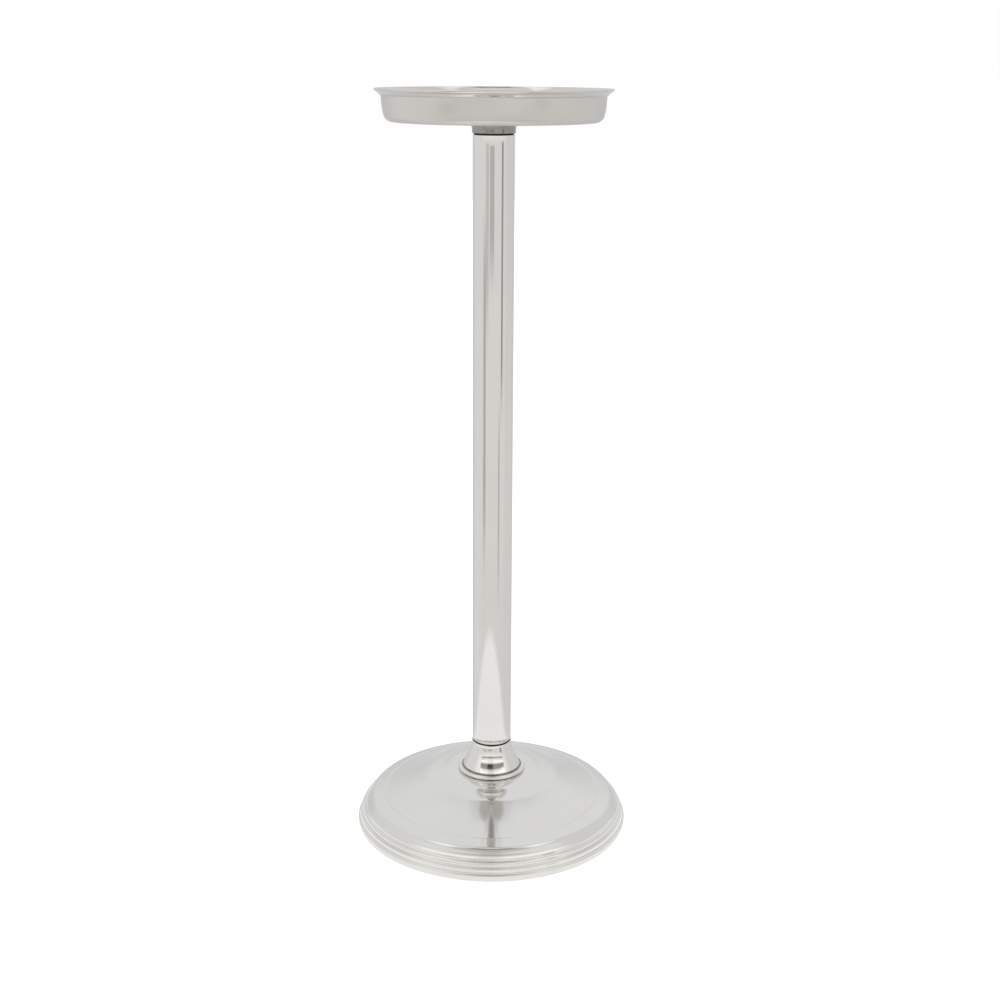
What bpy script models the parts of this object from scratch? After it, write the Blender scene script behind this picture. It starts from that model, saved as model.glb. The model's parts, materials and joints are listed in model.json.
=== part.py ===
"""Champagne bucket stand: a round tray on a polished tube, held up by a weighted domed base.

The stand comes apart at the dark seams at both ends of the tube: the tray unscrews from the tube, and the
tube unscrews from the base. Every piece is turned about the stand's upright axis, which is world Z through
the origin.
The origin is on the floor under the middle of the base.
"""

import math

import bmesh
import bpy

# ---- Driving dimensions, in millimetres. The meshes are made in metres. ----
MM = 0.001
HEIGHT = 600.0
GAP = 0.3                      # left between pieces that touch on the real stand
SHEET = 1.0                    # spun stainless sheet of the tray and the dome
SHEET_DOWN = SHEET + 0.1       # the dome's sheet measured straight down, on its slopes

TRAY_RIM_RADIUS = 90.2
TRAY_WALL_RADIUS = 84.6
TRAY_DEPTH = 24.4              # rim to the underside of the floor
TRAY_LIP_HEIGHT = 5.8          # the flared lip above the wall
TRAY_CORNER = 3.5              # outer radius between the wall and the floor
TRAY_WELL_RADIUS = 13.3        # pressed hollow in the floor that hides the bolt's head
TRAY_WELL_DEPTH = 4.4
TRAY_FLOOR = HEIGHT - TRAY_DEPTH
TRAY_WELL = TRAY_FLOOR - TRAY_WELL_DEPTH

TUBE_RADIUS = 16.0
TUBE_WALL = 1.2
TUBE_BOTTOM = 72.7
TUBE_TOP = 566.3
PLUG_RADIUS = TUBE_RADIUS - TUBE_WALL - GAP
PLUG_LENGTH = 25.0
UPPER_PLUG_TOP = TUBE_TOP - 4.6    # set down in the tube to leave room for the tray's nut
SEAL_THICKNESS = 0.6
SEAL_BORE = 9.0
UPPER_SEAL_RADIUS = 15.4
LOWER_SEAL_RADIUS = TUBE_RADIUS - 0.1

COLLAR_FOOT_RADIUS = 28.2      # rolled foot of the cone under the tube
COLLAR_CONE_RADIUS = 23.7      # where the cone meets its rolled foot
COLLAR_CONE_FOOT = 49.1
COLLAR_WALL = 2.0
COLLAR_WEB = 4.0

BASE_RADIUS = 112.8
# The crown of the dome, as (radius, degrees of fall): a nearly level seat with a small step round it, then a
# steep bell that eases out to the crease.
CROWN_SLOPES = [
    (29.0, 1.0),
    (36.5, 3.0),
    (39.0, 22.0),
    (41.0, 11.0),
    (48.0, 9.0),
    (52.0, 15.0),
    (56.5, 29.0),
    (60.0, 27.0),
    (73.0, 22.5),
    (89.0, 20.0),
]
CREASE_WIDTH = 1.1             # narrow raised line between the crown and the band
CREASE_RISE = 0.3
BASE_BAND_RADIUS = 99.6        # outer edge of the plain band round the crown
BAND_SLOPE = 17.5              # degrees
BASE_SHOULDER_RADIUS = 106.2   # foot of the rounded shoulder, above the beaded rim
BASE_SHOULDER_HEIGHT = 15.6
BASE_RIM_LIFT = 0.5            # the metal rim stays this far off the floor
SEAT_RADIUS = 29.0
SEAT_HEIGHT = 45.7

WEIGHT_RADIUS = 97.0
WEIGHT_BOTTOM = 4.3
WEIGHT_TOP = 18.5
HUB_RADIUS = 22.0
NUT_POCKET_RADIUS = 14.0
NUT_POCKET_TOP = 18.0
COVER_RADIUS = 105.0
COVER_BOTTOM = 2.6
COVER_THICKNESS = 1.4
COVER_HOLE_RADIUS = 16.0
FOOT_RADIUS = 9.0
FOOT_CIRCLE = 90.0
FEET = 4
COVER_SCREW_CIRCLE = 60.0
COVER_SCREWS = 3

BASE_THREAD_RADIUS = 5.0       # M10 stud of the base
BASE_THREAD_GRIP = 12.0        # how far the stud reaches into the tube's plug
BASE_BORE = BASE_THREAD_RADIUS + GAP
BASE_NUT_FLATS = 17.0
BASE_NUT_HEIGHT = 8.0
BASE_WASHER_RADIUS = 10.5
BASE_WASHER_THICKNESS = 1.8
SPRING_WASHER_RADIUS = 9.0
SPRING_WASHER_THICKNESS = 2.2
TRAY_THREAD_RADIUS = 4.0       # M8 bolt of the tray
TRAY_THREAD_GRIP = 10.0
TRAY_BORE = TRAY_THREAD_RADIUS + GAP
TRAY_BOLT_HEAD = 2.7
TRAY_NUT_FLATS = 13.0
TRAY_NUT_HEIGHT = 4.2
TRAY_WASHER_RADIUS = 8.6
TRAY_WASHER_THICKNESS = 0.8
SCREW_RADIUS = 2.0             # M4 screws of the cover
SCREW_HEAD_RADIUS = 3.9
SCREW_LENGTH = 7.0             # above the foot of the weight

BROAD = 40                     # facets round the tray and the dome
NARROW = 24                    # facets round the tube and its collars
SMALL = 16                     # facets round bolts and washers
MERGE = 0.0001

STEEL = ((0.80, 0.79, 0.77), 0.09, 1.0)
ZINC = ((0.62, 0.63, 0.64), 0.32, 1.0)
IRON = ((0.09, 0.09, 0.10), 0.62, 0.6)
RUBBER = ((0.025, 0.025, 0.027), 0.70, 0.0)
PAINTED = ((0.045, 0.045, 0.048), 0.50, 0.0)


# ---- Tools ----
def arc(centre, radius, start, end, count):
    """Points of a circular arc in the (radius, height) plane; the angles are in degrees."""
    points = []
    for i in range(count + 1):
        angle = math.radians(start + (end - start) * i / count)
        points.append((centre[0] + radius * math.cos(angle), centre[1] + radius * math.sin(angle)))
    return points


def bulged(start, end, bulge, count):
    """A shallow curve from start to end, off its chord by bulge at the middle, on the left of travel."""
    run = end[0] - start[0], end[1] - start[1]
    length = math.hypot(*run)
    side = -run[1] / length, run[0] / length
    points = []
    for i in range(count + 1):
        t = i / count
        off = 4.0 * bulge * t * (1.0 - t)
        points.append((start[0] + run[0] * t + side[0] * off, start[1] + run[1] * t + side[1] * off))
    return points


def falling(start, slopes):
    """A line that runs outwards from start, where each (radius, degrees) says how steeply it falls there."""
    points = [start]
    for (near, steep_near), (far, steep_far) in zip(slopes, slopes[1:]):
        fall = (far - near) * math.tan(math.radians((steep_near + steep_far) / 2.0))
        points.append((far, points[-1][1] - fall))
    return points


def collection(name):
    """A new collection in the scene."""
    made = bpy.data.collections.new(name)
    bpy.context.scene.collection.children.link(made)
    return made


def finished(thing, finish):
    """Gives an object its own Principled material and smooth shading with sharp edges."""
    colour, roughness, metallic = finish
    material = bpy.data.materials.new(thing.name + "_finish")
    material.use_nodes = True
    shader = material.node_tree.nodes["Principled BSDF"]
    shader.inputs["Base Color"].default_value = (*colour, 1.0)
    shader.inputs["Roughness"].default_value = roughness
    shader.inputs["Metallic"].default_value = metallic
    thing.data.materials.append(material)
    thing.data.shade_smooth()
    thing.data.set_sharp_from_angle(angle=math.radians(30))
    return thing


def turned(name, outline, finish, facets, ring=True):
    """A turned piece. Its outline runs down its outer side: closed for a ring, r=0 to r=0 for a solid."""
    mesh = bpy.data.meshes.new(name)
    shape = bmesh.new()
    points = [shape.verts.new((r * MM, 0.0, z * MM)) for r, z in outline]
    for upper, lower in zip(points, points[1:]):
        shape.edges.new((upper, lower))
    if ring:
        shape.edges.new((points[-1], points[0]))
    shape.to_mesh(mesh)
    shape.free()
    thing = bpy.data.objects.new(name, mesh)
    parts.objects.link(thing)
    screw = thing.modifiers.new("Turn", "SCREW")
    screw.axis = "Z"
    screw.steps = facets
    screw.render_steps = facets
    screw.use_merge_vertices = True
    screw.merge_threshold = MERGE
    screw.use_smooth_shade = True
    return finished(thing, finish)


def prism(name, sides, radius, bottom, top, where, at=(0.0, 0.0)):
    """A straight prism between two heights, with its corners on the given radius."""
    mesh = bpy.data.meshes.new(name)
    shape = bmesh.new()
    bmesh.ops.create_cone(
        shape,
        cap_ends=True,
        segments=sides,
        radius1=radius * MM,
        radius2=radius * MM,
        depth=(top - bottom) * MM,
    )
    shape.to_mesh(mesh)
    shape.free()
    thing = bpy.data.objects.new(name, mesh)
    thing.location = (at[0] * MM, at[1] * MM, (bottom + top) / 2.0 * MM)
    where.objects.link(thing)
    return thing


def cut(thing, cutter):
    """Takes the cutter's shape out of a piece."""
    cutter.hide_render = True
    cutter.display_type = "WIRE"
    boolean = thing.modifiers.new("Cut", "BOOLEAN")
    boolean.operation = "DIFFERENCE"
    boolean.solver = "EXACT"
    boolean.object = cutter


def washer(name, inner, outer, bottom, top, finish, facets=SMALL):
    """A flat ring between two heights."""
    return turned(name, [(outer, top), (outer, bottom), (inner, bottom), (inner, top)], finish, facets)


def nut(name, across_flats, bore, bottom, top, finish):
    """A hexagon nut with a plain bore in place of its thread."""
    thing = prism(name, 6, across_flats / math.sqrt(3.0), bottom, top, parts)
    cut(thing, prism(name + "_bore", SMALL, bore, bottom - 1.0, top + 1.0, cutters))
    return finished(thing, finish)


def threaded_rod(name, radius, bottom, top, finish):
    """A plain rod with chamfered ends in place of a thread."""
    chamfer = radius * 0.2
    outline = [
        (0.0, top),
        (radius - chamfer, top),
        (radius, top - chamfer),
        (radius, bottom + chamfer),
        (radius - chamfer, bottom),
        (0.0, bottom),
    ]
    return turned(name, outline, finish, SMALL, ring=False)


def on_circle(radius, count, first):
    """Evenly spaced places round the axis, starting at an angle in degrees."""
    places = []
    for i in range(count):
        angle = math.radians(first + 360.0 * i / count)
        places.append((radius * math.cos(angle), radius * math.sin(angle)))
    return places


# ---- Tray ----
def make_tray_dish():
    """Spun dish: flared lip, upright wall, rounded corner, flat floor and a well for the bolt's head."""
    floor = TRAY_FLOOR
    neck = HEIGHT - TRAY_LIP_HEIGHT
    corner = TRAY_CORNER
    corner_centre = TRAY_WALL_RADIUS - 1.0 - corner, floor + corner
    well = TRAY_WELL
    outline = [(TRAY_RIM_RADIUS - 0.6, HEIGHT), (TRAY_RIM_RADIUS, HEIGHT - 0.5)]
    outline += bulged((TRAY_RIM_RADIUS - 0.2, HEIGHT - 1.2), (TRAY_WALL_RADIUS - 0.1, neck), 0.5, 4)
    foot = (TRAY_WALL_RADIUS - 0.9, floor + corner + 1.0)
    outline += bulged((TRAY_WALL_RADIUS, neck - 1.5), foot, -0.25, 3)
    outline += arc(corner_centre, corner, 0, -90, 4)
    outline += [(TRAY_WELL_RADIUS, floor), (TRAY_WELL_RADIUS, well), (TRAY_BORE, well)]
    outline += [(TRAY_BORE, well + SHEET), (TRAY_WELL_RADIUS - SHEET, well + SHEET)]
    outline += [(TRAY_WELL_RADIUS - SHEET, floor + SHEET)]
    outline += arc(corner_centre, corner - SHEET, -90, 0, 4)
    outline += [(TRAY_WALL_RADIUS - SHEET, neck - 1.5)]
    outline += bulged((TRAY_WALL_RADIUS - SHEET, neck + 0.6), (TRAY_RIM_RADIUS - 1.2, HEIGHT - 0.1), -0.5, 4)
    return turned("tray_dish", outline, STEEL, BROAD)


def make_tray_collar():
    """Turned collar between tube and dish, flaring out under the dish, with a web that the bolt clamps."""
    top = TRAY_FLOOR - GAP
    bottom = TUBE_TOP + SEAL_THICKNESS + 2 * GAP
    web_top = TRAY_WELL - GAP
    flare = 3.4
    outline = [(TUBE_RADIUS + 4.8, top), (TUBE_RADIUS + 4.6, top - 1.2)]
    outline += arc((TUBE_RADIUS + 0.7 + flare, top - 1.8 - flare), flare, 90, 180, 5)
    outline += [(TUBE_RADIUS + 0.5, bottom), (TRAY_BORE, bottom), (TRAY_BORE, web_top)]
    outline += [(TRAY_WELL_RADIUS + GAP, web_top), (TRAY_WELL_RADIUS + GAP, top)]
    return turned("tray_collar", outline, STEEL, NARROW)


def make_tray_bolt():
    """Low round-headed bolt with a hexagon socket; its end is the stud that screws into the tube."""
    seat = TRAY_WELL + SHEET + TRAY_WASHER_THICKNESS + 2 * GAP
    head = TRAY_BOLT_HEAD
    tip = UPPER_PLUG_TOP - TRAY_THREAD_GRIP
    outline = [(0.0, seat + head), (4.6, seat + head), (6.3, seat + head - 0.7)]
    outline += [(7.0, seat + 0.9), (7.0, seat)]
    outline += [(TRAY_THREAD_RADIUS, seat), (TRAY_THREAD_RADIUS, tip + 0.8), (TRAY_THREAD_RADIUS - 0.8, tip)]
    outline += [(0.0, tip)]
    bolt = turned("tray_bolt", outline, ZINC, SMALL, ring=False)
    cut(bolt, prism("tray_bolt_socket", 6, 2.9, seat + 0.7, seat + head + 1.0, cutters))
    return bolt


def make_tray():
    """The dish, the collar under it, and the bolt, washer and nut that clamp them together."""
    make_tray_dish()
    make_tray_collar()
    make_tray_bolt()
    low = TRAY_WELL + SHEET + GAP
    washer("tray_washer", TRAY_BORE, TRAY_WASHER_RADIUS, low, low + TRAY_WASHER_THICKNESS, ZINC)
    nut_top = TUBE_TOP + SEAL_THICKNESS + GAP
    nut("tray_nut", TRAY_NUT_FLATS, TRAY_BORE, nut_top - TRAY_NUT_HEIGHT, nut_top, ZINC)


# ---- Tube ----
def make_tube():
    """The tube, its two threaded plugs and the two seals at its ends."""
    washer("pole_tube", TUBE_RADIUS - TUBE_WALL, TUBE_RADIUS, TUBE_BOTTOM, TUBE_TOP, STEEL, NARROW)
    low = TUBE_BOTTOM + GAP
    washer("lower_plug", BASE_BORE, PLUG_RADIUS, low, low + PLUG_LENGTH, ZINC, NARROW)
    high = UPPER_PLUG_TOP
    washer("upper_plug", TRAY_BORE, PLUG_RADIUS, high - PLUG_LENGTH, high, ZINC, NARROW)
    seal = TUBE_BOTTOM - GAP - SEAL_THICKNESS
    washer("lower_seal_ring", SEAL_BORE, LOWER_SEAL_RADIUS, seal, seal + SEAL_THICKNESS, RUBBER, NARROW)
    seal = TUBE_TOP + GAP
    washer("upper_seal_ring", SEAL_BORE, UPPER_SEAL_RADIUS, seal, seal + SEAL_THICKNESS, RUBBER, NARROW)


# ---- Base ----
def rim_outline():
    """Outer side of the beaded rim: an inner bead, then a larger rolled edge, parted by narrow grooves."""
    return [
        (BASE_SHOULDER_RADIUS + 0.1, BASE_SHOULDER_HEIGHT - 0.9),
        (BASE_SHOULDER_RADIUS + 1.2, BASE_SHOULDER_HEIGHT - 1.4),
        (BASE_SHOULDER_RADIUS + 2.7, BASE_SHOULDER_HEIGHT - 3.4),
        (BASE_SHOULDER_RADIUS + 2.9, BASE_SHOULDER_HEIGHT - 5.0),
        (BASE_RADIUS - 2.7, BASE_SHOULDER_HEIGHT - 6.2),
        (BASE_RADIUS - 1.6, BASE_SHOULDER_HEIGHT - 8.4),
        (BASE_RADIUS - 0.7, 6.0),
        (BASE_RADIUS - 0.1, 4.2),
        (BASE_RADIUS, 2.6),
        (BASE_RADIUS - 0.4, 1.2),
        (BASE_RADIUS - 1.3, BASE_RIM_LIFT),
    ]


def make_base_dome():
    """Spun dome: seat under the collar, bell-shaped crown, plain band, rounded shoulder and beaded rim."""
    crown = falling((SEAT_RADIUS, SEAT_HEIGHT), CROWN_SLOPES)
    crease = crown[-1][0] + CREASE_WIDTH, crown[-1][1] + CREASE_RISE
    band_fall = (BASE_BAND_RADIUS - crease[0]) * math.tan(math.radians(BAND_SLOPE))
    band = BASE_BAND_RADIUS, crease[1] - band_fall
    shoulder = BASE_SHOULDER_RADIUS, BASE_SHOULDER_HEIGHT
    skirt = BASE_RADIUS - 4.8
    outline = [(BASE_BORE, SEAT_HEIGHT)] + crown + [crease]
    outline += bulged(band, shoulder, 1.0, 4)
    outline += rim_outline()
    outline += [(skirt + 0.6, BASE_RIM_LIFT), (skirt, 2.0), (skirt, 9.0)]
    outline += [(shoulder[0] - 1.2, shoulder[1] - 1.5)]
    outline += bulged((shoulder[0] - 1.2, shoulder[1] - 0.1), (band[0] - 0.4, band[1] - SHEET_DOWN), -0.9, 3)
    outline += [(radius, height - SHEET_DOWN) for radius, height in reversed(crown)]
    outline += [(BASE_BORE, SEAT_HEIGHT - SHEET_DOWN)]
    return turned("base_dome", outline, STEEL, BROAD)


def make_base_weight():
    """Cast iron disc under the dome: a hub up to the dome's seat, a nut pocket and tapped screw holes."""
    hub_top = SEAT_HEIGHT - SHEET_DOWN - GAP
    outline = [(BASE_BORE, hub_top), (HUB_RADIUS - 1.5, hub_top), (HUB_RADIUS, hub_top - 1.5)]
    outline += [(HUB_RADIUS + 2.0, WEIGHT_TOP + 5.0), (HUB_RADIUS + 6.0, WEIGHT_TOP)]
    outline += [(WEIGHT_RADIUS - 2.0, WEIGHT_TOP), (WEIGHT_RADIUS, WEIGHT_TOP - 2.0)]
    outline += [(WEIGHT_RADIUS, WEIGHT_BOTTOM), (NUT_POCKET_RADIUS, WEIGHT_BOTTOM)]
    outline += [(NUT_POCKET_RADIUS, NUT_POCKET_TOP), (BASE_BORE, NUT_POCKET_TOP)]
    weight = turned("base_weight", outline, IRON, BROAD)
    for i, place in enumerate(on_circle(COVER_SCREW_CIRCLE, COVER_SCREWS, 90.0)):
        name = f"weight_hole_{i + 1}"
        top = WEIGHT_BOTTOM + SCREW_LENGTH + 2.0
        cut(weight, prism(name, SMALL, SCREW_RADIUS + GAP, WEIGHT_BOTTOM - 1.0, top, cutters, place))
    return weight


def make_cover():
    """Pressed cover under the weight, the cover's screws, and the rubber feet that the stand rests on."""
    top = COVER_BOTTOM + COVER_THICKNESS
    cover = washer("base_cover", COVER_HOLE_RADIUS, COVER_RADIUS, COVER_BOTTOM, top, PAINTED, BROAD)
    for i, place in enumerate(on_circle(FOOT_CIRCLE, FEET, 45.0)):
        make_foot(f"base_foot_{i + 1}", place)
    for i, place in enumerate(on_circle(COVER_SCREW_CIRCLE, COVER_SCREWS, 90.0)):
        number = f"{i + 1}"
        name = "cover_hole_" + number
        cut(cover, prism(name, SMALL, SCREW_RADIUS + GAP, COVER_BOTTOM - 1.0, top + 1.0, cutters, place))
        make_cover_screw("cover_screw_" + number, place)


def make_foot(name, place):
    """Round rubber bumper under the cover; its underside is on the floor."""
    top = COVER_BOTTOM - GAP
    outline = [(0.0, top), (FOOT_RADIUS, top), (FOOT_RADIUS, 0.6), (FOOT_RADIUS - 0.6, 0.0), (0.0, 0.0)]
    foot = turned(name, outline, RUBBER, SMALL, ring=False)
    foot.location = (place[0] * MM, place[1] * MM, 0.0)
    return foot


def make_cover_screw(name, place):
    """Low pan-headed screw, head down, placed under the cover."""
    under = COVER_BOTTOM - GAP
    tip = WEIGHT_BOTTOM + SCREW_LENGTH
    head = SCREW_HEAD_RADIUS
    outline = [(0.0, tip), (SCREW_RADIUS - 0.5, tip), (SCREW_RADIUS, tip - 0.6), (SCREW_RADIUS, under)]
    outline += [(head, under), (head, under - 0.6), (head - 0.9, under - 1.2), (0.0, under - 1.3)]
    screw = turned(name, outline, ZINC, SMALL, ring=False)
    screw.location = (place[0] * MM, place[1] * MM, 0.0)
    return screw


def make_base_collar():
    """Hollow cone between the dome and the tube, with a rolled foot below and a web above for the stud."""
    top = TUBE_BOTTOM - SEAL_THICKNESS - 2 * GAP
    bottom = SEAT_HEIGHT + GAP
    cone_top = (TUBE_RADIUS + 0.5, top - 0.4)
    cone_foot = (COLLAR_CONE_RADIUS, COLLAR_CONE_FOOT)
    bead = 1.5
    bead_centre = (COLLAR_FOOT_RADIUS - bead, bottom + bead)
    outline = [(TUBE_RADIUS + 0.1, top), cone_top]
    outline += bulged(cone_top, cone_foot, -0.5, 4)[1:]
    outline += [(COLLAR_CONE_RADIUS + 1.3, bottom + 2 * bead - 0.1)]
    outline += arc(bead_centre, bead, 90, -90, 6)
    outline += [(COLLAR_CONE_RADIUS - COLLAR_WALL, bottom), (TUBE_RADIUS - COLLAR_WALL, top - COLLAR_WEB)]
    outline += [(BASE_BORE, top - COLLAR_WEB), (BASE_BORE, top)]
    return turned("base_collar", outline, STEEL, NARROW)


def make_base_fasteners():
    """The base's stud, its nut and washers underneath, and the nut that clamps the dome to the weight."""
    threaded_rod("base_stud", BASE_THREAD_RADIUS, WEIGHT_BOTTOM, TUBE_BOTTOM + GAP + BASE_THREAD_GRIP, ZINC)
    top = NUT_POCKET_TOP - GAP
    washer("base_washer", BASE_BORE, BASE_WASHER_RADIUS, top - BASE_WASHER_THICKNESS, top, ZINC)
    top -= BASE_WASHER_THICKNESS + GAP
    bottom = top - SPRING_WASHER_THICKNESS
    spring = washer("base_spring_washer", BASE_BORE, SPRING_WASHER_RADIUS, bottom, top, ZINC)
    slot = prism("spring_washer_slot", 4, 1.2, bottom - 1.8, top + 2.0, cutters, (7.0, 0.0))
    slot.scale = (4.0, 1.0, 1.0)
    cut(spring, slot)
    top = bottom - GAP
    nut("base_nut", BASE_NUT_FLATS, BASE_BORE, top - BASE_NUT_HEIGHT, top, ZINC)
    bottom = SEAT_HEIGHT + GAP
    washer("dome_washer", BASE_BORE, BASE_WASHER_RADIUS, bottom, bottom + BASE_WASHER_THICKNESS, ZINC)
    bottom += BASE_WASHER_THICKNESS + GAP
    nut("dome_nut", BASE_NUT_FLATS, BASE_BORE, bottom, bottom + BASE_NUT_HEIGHT, ZINC)


def make_base():
    """The dome, the weight in it, the cover under it, the cone on it and the fasteners through it."""
    make_base_dome()
    make_base_weight()
    make_cover()
    make_base_collar()
    make_base_fasteners()


for leftover in list(bpy.data.objects):
    bpy.data.objects.remove(leftover, do_unlink=True)
parts = collection("champagne_bucket_stand")
cutters = collection("cutters")
make_tray()
make_tube()
make_base()
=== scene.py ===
"""Looks of the champagne bucket stand: fine turned pieces, polished steel and a plain white studio."""
import json
import math

import bmesh
import bpy
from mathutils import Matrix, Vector


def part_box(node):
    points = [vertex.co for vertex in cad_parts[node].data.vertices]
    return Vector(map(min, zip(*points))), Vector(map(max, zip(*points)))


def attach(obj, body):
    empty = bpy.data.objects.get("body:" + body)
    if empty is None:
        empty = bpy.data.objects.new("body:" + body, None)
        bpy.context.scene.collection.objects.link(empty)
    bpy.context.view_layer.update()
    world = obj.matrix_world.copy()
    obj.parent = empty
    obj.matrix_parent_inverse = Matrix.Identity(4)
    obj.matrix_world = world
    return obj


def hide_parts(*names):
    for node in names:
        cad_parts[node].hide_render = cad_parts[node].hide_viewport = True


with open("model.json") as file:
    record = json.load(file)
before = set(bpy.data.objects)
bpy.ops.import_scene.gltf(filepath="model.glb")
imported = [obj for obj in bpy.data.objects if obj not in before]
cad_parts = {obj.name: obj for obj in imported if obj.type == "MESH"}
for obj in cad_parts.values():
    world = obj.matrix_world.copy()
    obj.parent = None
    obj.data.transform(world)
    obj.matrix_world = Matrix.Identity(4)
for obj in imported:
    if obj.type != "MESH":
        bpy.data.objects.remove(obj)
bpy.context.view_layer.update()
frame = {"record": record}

MM = 0.001
BROAD = 256                     # facets round the tray and the dome
NARROW = 160                    # facets round the tube and its collars
SMALL = 72                      # facets round bolts, nuts and washers
SHARP = math.radians(32.0)      # edges that turn more than this are drawn sharp

SHEET = 1.0                     # thickness of the spun steel
TRAY_HOLE = 4.4                 # hole of the tray's pieces for the M8 bolt
M8_BORE = 4.3                   # bore of the washer, nut and plug on it
M8_PITCH = 1.25
M8_FLATS = 13.0
BASE_HOLE = 5.4                 # hole of the base's pieces for the M10 stud
M10_BORE = 5.3                  # bore of the washers, nuts and plug on it
M10_PITCH = 1.5
M10_FLATS = 17.0
SCREW_R, SCREW_PITCH = 2.0, 0.7         # M4 screws of the cover
SEAL_BORE = 9.0
WELL_R = 13.3                   # well in the tray's floor for the bolt's head
GROOVE_SHADE_R = 24.3                 # middle of the painted shade in the groove above the cone's rolled foot
SEAT_GAP = 0.08                 # between the cone's foot and the dome


# ---------------------------------------------------------------- sizes, from the frame, in millimetres
def span(node):
    """(radius, lowest, highest) of a CAD node that is turned about its own upright axis."""
    low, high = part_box(node)
    return (high.x - low.x) / 2 / MM, low.z / MM, high.z / MM


def place(node):
    """Where a CAD node's upright axis stands."""
    low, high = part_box(node)
    return (low.x + high.x) / 2 / MM, (low.y + high.y) / 2 / MM


TRAY_R, TRAY_WELL, TRAY_TOP = span("tray_dish")
TRAY_FLOOR = TRAY_WELL + 4.4    # underside of the floor, above the well for the bolt's head
COLLAR_R, COLLAR_LOW, COLLAR_HIGH = span("tray_collar")
TUBE_R, TUBE_LOW, TUBE_HIGH = span("pole_tube")
CONE_R, _, CONE_HIGH = span("base_collar")
BASE_R, BASE_LOW, SEAT = span("base_dome")


# ---------------------------------------------------------------- camera
def make_camera():
    """The camera, 0.62 m up and 1.19 m in front of the stand, looking down at the middle of the tube."""
    looks_down, rolled = 15.94, 0.30
    data = bpy.data.cameras.new("camera")
    data.sensor_width = 36.0
    data.lens = 55.3
    camera = bpy.data.objects.new("camera", data)
    bpy.context.scene.collection.objects.link(camera)
    camera.location = (0.0060, -1.1883, 0.6194)
    camera.rotation_mode = "XYZ"
    camera.rotation_euler = (math.radians(90.0 - looks_down), 0.0, 0.0)
    camera.rotation_euler.rotate_axis("Z", math.radians(rolled))
    bpy.context.scene.camera = camera


# ---------------------------------------------------------------- outlines: (radius, height) points
def arc(centre, radius, start, end, count=8):
    """Points of an arc between two angles, in degrees."""
    points = []
    for i in range(count + 1):
        angle = math.radians(start + (end - start) * i / count)
        points.append((centre[0] + radius * math.cos(angle), centre[1] + radius * math.sin(angle)))
    return points


def flow(nodes, step=0.8):
    """A smooth line through (radius, height, heading) nodes, each heading in degrees."""
    points = [nodes[0][:2]]
    for (r0, z0, h0), (r1, z1, h1) in zip(nodes, nodes[1:]):
        chord = math.hypot(r1 - r0, z1 - z0)
        count = max(2, math.ceil(chord / step))
        ax, az = chord * math.cos(math.radians(h0)), chord * math.sin(math.radians(h0))
        bx, bz = chord * math.cos(math.radians(h1)), chord * math.sin(math.radians(h1))
        for i in range(1, count + 1):
            t = i / count
            a, b = 2 * t**3 - 3 * t**2 + 1, t**3 - 2 * t**2 + t
            c, d = 3 * t**2 - 2 * t**3, t**3 - t**2
            points.append((a * r0 + b * ax + c * r1 + d * bx, a * z0 + b * az + c * z1 + d * bz))
    return points


def falling(start, slopes, step=0.4):
    """A line that runs outwards from start, and at each (radius, degrees) falls that steeply."""
    points = [start]
    for (r0, s0), (r1, s1) in zip(slopes, slopes[1:]):
        count = max(2, math.ceil((r1 - r0) / step))
        width = (r1 - r0) / count
        for i in range(count):
            slope = s0 + (s1 - s0) * (i + 0.5) / count
            points.append((points[-1][0] + width, points[-1][1] - width * math.tan(math.radians(slope))))
    return points


def run(start, end, step=10.0):
    """Evenly spaced points along a straight line, without the first."""
    count = max(1, math.ceil(math.dist(start, end) / step))
    return [tuple(a + (b - a) * i / count for a, b in zip(start, end)) for i in range(1, count + 1)]


def clean(outline):
    """Drops points that lie on the one before."""
    kept = [outline[0]]
    for point in outline[1:]:
        if math.dist(point, kept[-1]) > 0.02:
            kept.append(point)
    return kept


def ring_section(inner, outer, low, high, edge):
    """A rectangular section with small rounded edges, round its outer side first."""
    corners = ((outer - edge, high - edge, 90), (outer - edge, low + edge, 0))
    corners += ((inner + edge, low + edge, -90), (inner + edge, high - edge, -180))
    points = []
    for r, z, start in corners:
        points += arc((r, z), edge, start, start - 90, 3)
    return points


# ---------------------------------------------------------------- solids
def skin(name, loops, ring=True):
    """A solid skinned over loops of points, closed into a ring or else with both ends closed flat."""
    shape = bmesh.new()
    rows = [[shape.verts.new(Vector(point) * MM) for point in loop] for loop in loops]
    pairs = list(zip(rows, rows[1:]))
    if ring:
        pairs.append((rows[-1], rows[0]))
    else:
        shape.faces.new(rows[0])
        shape.faces.new(rows[-1])
    for upper, lower in pairs:
        for i, corner in enumerate(upper):
            j = (i + 1) % len(upper)
            shape.faces.new((corner, lower[i], lower[j], upper[j]))
    bmesh.ops.recalc_face_normals(shape, faces=shape.faces)
    mesh = bpy.data.meshes.new(name)
    shape.to_mesh(mesh)
    shape.free()
    mesh.shade_smooth()
    mesh.set_sharp_from_angle(angle=SHARP)
    piece = bpy.data.objects.new(name, mesh)
    bpy.context.scene.collection.objects.link(piece)
    return piece


def around(radius, height, count, at=(0.0, 0.0)):
    """A loop round an upright axis; the radius may be a function of the angle."""
    loop = []
    for i in range(count):
        angle = 2.0 * math.pi * i / count
        r = radius(angle) if callable(radius) else radius
        loop.append((at[0] + r * math.cos(angle), at[1] + r * math.sin(angle), height))
    return loop


def turned(name, outline, count, ring=True, at=(0.0, 0.0)):
    """A turned piece, or one whose rows have radii that change with the angle."""
    if not any(callable(r) for r, _ in outline):
        outline = clean(outline)
        if ring and math.dist(outline[0], outline[-1]) < 0.02:
            outline.pop()
    return skin(name, [around(r, z, count, at) for r, z in outline], ring)


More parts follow.
